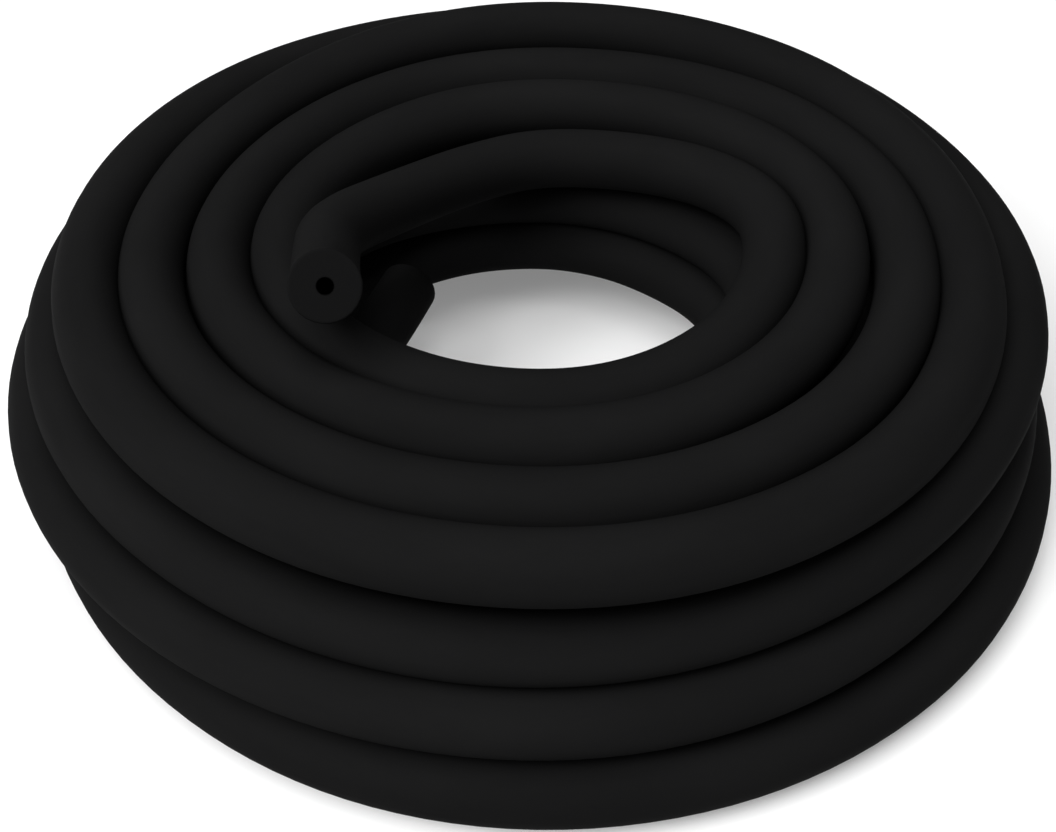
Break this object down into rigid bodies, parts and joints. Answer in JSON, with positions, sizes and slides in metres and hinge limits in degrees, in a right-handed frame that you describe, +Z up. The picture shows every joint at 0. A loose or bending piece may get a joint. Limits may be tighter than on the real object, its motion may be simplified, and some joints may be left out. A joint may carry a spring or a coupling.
{
  "type": "coiled soaker hose",
  "caption": "Porous rubber soaker hose with two bare square-cut ends, wound by hand into a round open-centred coil.",
  "frame": {"origin": "on the ground, under the middle of the coil", "axes": "+Z up through the coil's eye, -Y towards the side where the bare top end points, +X to the right seen from that side"},
  "size_m": [0.2206, 0.2189, 0.071],
  "materials": {
    "hose": "matte"
  },
  "bodies": {
    "root": {"hose_coil": "hose", "hose_top_end": "hose", "hose_inner_end": "hose"}
  },
  "joints": []
}
